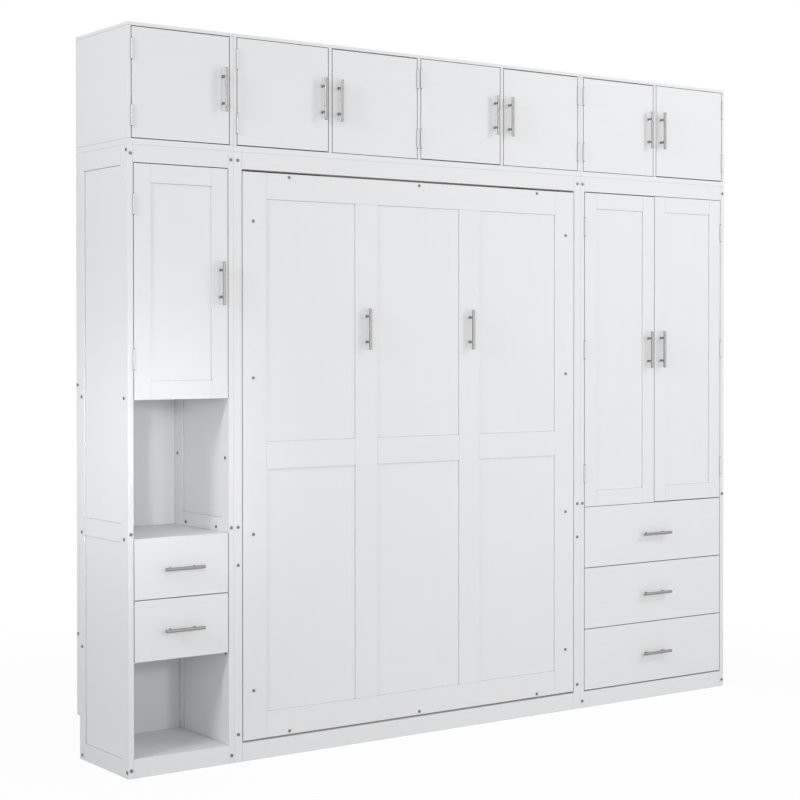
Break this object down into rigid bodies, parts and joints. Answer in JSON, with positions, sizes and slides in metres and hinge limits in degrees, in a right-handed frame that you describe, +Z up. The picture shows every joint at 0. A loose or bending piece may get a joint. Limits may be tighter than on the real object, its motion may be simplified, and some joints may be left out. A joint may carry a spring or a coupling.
{
  "type": "wall bed with storage cabinets",
  "caption": "White wall bed that folds up between two storage towers under a row of overhead cupboards, with doors, drawers, niches and bar handles.",
  "frame": {"origin": "centre of the bounding box on the floor", "axes": "+Z up, front faces -Y, +X to the right seen from the front"},
  "size_m": [2.912, 0.44, 2.618],
  "materials": {
    "white_paint": "satin painted",
    "white_hinge": "satin painted",
    "handle_nickel": "satin brushed",
    "bolt_zinc": "zinc plated",
    "fitting_steel": "zinc plated",
    "black_steel": "satin painted",
    "chrome": "polished",
    "plain_timber": "clear satin"
  },
  "bodies": {
    "cabinet": {"left_tower_sides": "white_paint", "left_tower_shelves": "white_paint", "right_tower_sides": "white_paint", "right_tower_shelves": "white_paint", "tower_backs": "white_paint", "bed_cabinet_frame": "white_paint", "wall_rails": "white_paint", "overhead_left_carcass": "white_paint", "overhead_centre_carcass": "white_paint", "overhead_right_carcass": "white_paint", "hanging_rail": "chrome", "carcass_hinge_leaves": "white_hinge", "drawer_runners": "fitting_steel", "carcass_bolts": "bolt_zinc", "bed_pivot_plates": "fitting_steel"},
    "bed": {"bed_front": "white_paint", "bed_rails": "plain_timber", "bed_slats": "plain_timber", "bed_handles": "handle_nickel", "bed_bolts": "bolt_zinc", "bed_pivot_pins": "fitting_steel"},
    "left_leg": {"left_leg": "black_steel"},
    "right_leg": {"right_leg": "black_steel"},
    "gas_tubes": {"gas_spring_tubes": "black_steel"},
    "gas_rods": {"gas_spring_rods": "chrome"},
    "left_door": {"left_door": "white_paint", "left_door_handle": "handle_nickel"},
    "wardrobe_door_left": {"wardrobe_door_left": "white_paint", "wardrobe_door_left_handle": "handle_nickel"},
    "wardrobe_door_right": {"wardrobe_door_right": "white_paint", "wardrobe_door_right_handle": "handle_nickel"},
    "overhead_door_1": {"overhead_door_1": "white_paint", "overhead_door_1_handle": "handle_nickel"},
    "overhead_door_2": {"overhead_door_2": "white_paint", "overhead_door_2_handle": "handle_nickel"},
    "overhead_door_3": {"overhead_door_3": "white_paint", "overhead_door_3_handle": "handle_nickel"},
    "overhead_door_4": {"overhead_door_4": "white_paint", "overhead_door_4_handle": "handle_nickel"},
    "overhead_door_5": {"overhead_door_5": "white_paint", "overhead_door_5_handle": "handle_nickel"},
    "overhead_door_6": {"overhead_door_6": "white_paint", "overhead_door_6_handle": "handle_nickel"},
    "overhead_door_7": {"overhead_door_7": "white_paint", "overhead_door_7_handle": "handle_nickel"},
    "left_drawer_1": {"left_drawer_1_front": "white_paint", "left_drawer_1_box": "plain_timber", "left_drawer_1_handle": "handle_nickel"},
    "left_drawer_2": {"left_drawer_2_front": "white_paint", "left_drawer_2_box": "plain_timber", "left_drawer_2_handle": "handle_nickel"},
    "right_drawer_1": {"right_drawer_1_front": "white_paint", "right_drawer_1_box": "plain_timber", "right_drawer_1_handle": "handle_nickel"},
    "right_drawer_2": {"right_drawer_2_front": "white_paint", "right_drawer_2_box": "plain_timber", "right_drawer_2_handle": "handle_nickel"},
    "right_drawer_3": {"right_drawer_3_front": "white_paint", "right_drawer_3_box": "plain_timber", "right_drawer_3_handle": "handle_nickel"}
  },
  "joints": [
    {"name": "bed_fold", "type": "hinge", "parent": "cabinet", "child": "bed", "pos_m": [-0.2075, -0.13, 0.3], "axis": [1, 0, 0], "range_deg": [0, 90], "stiffness_Nm_per_rad": 400, "springref_deg": -11.46},
    {"name": "left_leg_swing", "type": "hinge", "parent": "bed", "child": "left_leg", "pos_m": [-0.935, -0.138, 2.131], "axis": [0, 0, -1], "range_deg": [0, 90]},
    {"name": "right_leg_swing", "type": "hinge", "parent": "bed", "child": "right_leg", "pos_m": [0.52, -0.138, 2.131], "axis": [0, 0, 1], "range_deg": [0, 90]},
    {"name": "gas_spring_tilt", "type": "hinge", "parent": "cabinet", "child": "gas_tubes", "pos_m": [-0.2075, 0.012, 0.56], "axis": [1, 0, 0], "range_deg": [0, 18.81]},
    {"name": "gas_spring_stroke", "type": "slide", "parent": "gas_tubes", "child": "gas_rods", "axis": [0, 0.3611, 0.9325], "range_m": [0, 0.14944]},
    {"name": "left_door_hinge", "type": "hinge", "parent": "cabinet", "child": "left_door", "pos_m": [-1.431, -0.1916, 1], "axis": [0, 0, -1], "range_deg": [0, 110]},
    {"name": "wardrobe_left_hinge", "type": "hinge", "parent": "cabinet", "child": "wardrobe_door_left", "pos_m": [0.64, -0.1916, 1], "axis": [0, 0, -1], "range_deg": [0, 90]},
    {"name": "wardrobe_right_hinge", "type": "hinge", "parent": "cabinet", "child": "wardrobe_door_right", "pos_m": [1.431, -0.1916, 1], "axis": [0, 0, 1], "range_deg": [0, 110]},
    {"name": "overhead_hinge_1", "type": "hinge", "parent": "cabinet", "child": "overhead_door_1", "pos_m": [-1.438, -0.1916, 2.41], "axis": [0, 0, -1], "range_deg": [0, 105]},
    {"name": "overhead_hinge_2", "type": "hinge", "parent": "cabinet", "child": "overhead_door_2", "pos_m": [-1.017, -0.1916, 2.41], "axis": [0, 0, -1], "range_deg": [0, 85]},
    {"name": "overhead_hinge_3", "type": "hinge", "parent": "cabinet", "child": "overhead_door_3", "pos_m": [-0.216, -0.1916, 2.41], "axis": [0, 0, 1], "range_deg": [0, 80]},
    {"name": "overhead_hinge_4", "type": "hinge", "parent": "cabinet", "child": "overhead_door_4", "pos_m": [-0.199, -0.1916, 2.41], "axis": [0, 0, -1], "range_deg": [0, 80]},
    {"name": "overhead_hinge_5", "type": "hinge", "parent": "cabinet", "child": "overhead_door_5", "pos_m": [0.602, -0.1916, 2.41], "axis": [0, 0, 1], "range_deg": [0, 80]},
    {"name": "overhead_hinge_6", "type": "hinge", "parent": "cabinet", "child": "overhead_door_6", "pos_m": [0.633, -0.1916, 2.41], "axis": [0, 0, -1], "range_deg": [0, 80]},
    {"name": "overhead_hinge_7", "type": "hinge", "parent": "cabinet", "child": "overhead_door_7", "pos_m": [1.438, -0.1916, 2.41], "axis": [0, 0, 1], "range_deg": [0, 105]},
    {"name": "left_drawer_1_slide", "type": "slide", "parent": "cabinet", "child": "left_drawer_1", "axis": [0, -1, 0], "range_m": [0, 0.28]},
    {"name": "left_drawer_2_slide", "type": "slide", "parent": "cabinet", "child": "left_drawer_2", "axis": [0, -1, 0], "range_m": [0, 0.28]},
    {"name": "right_drawer_1_slide", "type": "slide", "parent": "cabinet", "child": "right_drawer_1", "axis": [0, -1, 0], "range_m": [0, 0.28]},
    {"name": "right_drawer_2_slide", "type": "slide", "parent": "cabinet", "child": "right_drawer_2", "axis": [0, -1, 0], "range_m": [0, 0.28]},
    {"name": "right_drawer_3_slide", "type": "slide", "parent": "cabinet", "child": "right_drawer_3", "axis": [0, -1, 0], "range_m": [0, 0.28]}
  ],
  "couplings": [
    {"joint": "gas_spring_tilt", "follows": "bed_fold", "ratio": 0.20679},
    {"joint": "gas_spring_stroke", "follows": "bed_fold", "m_per_rad": 0.094821}
  ]
}
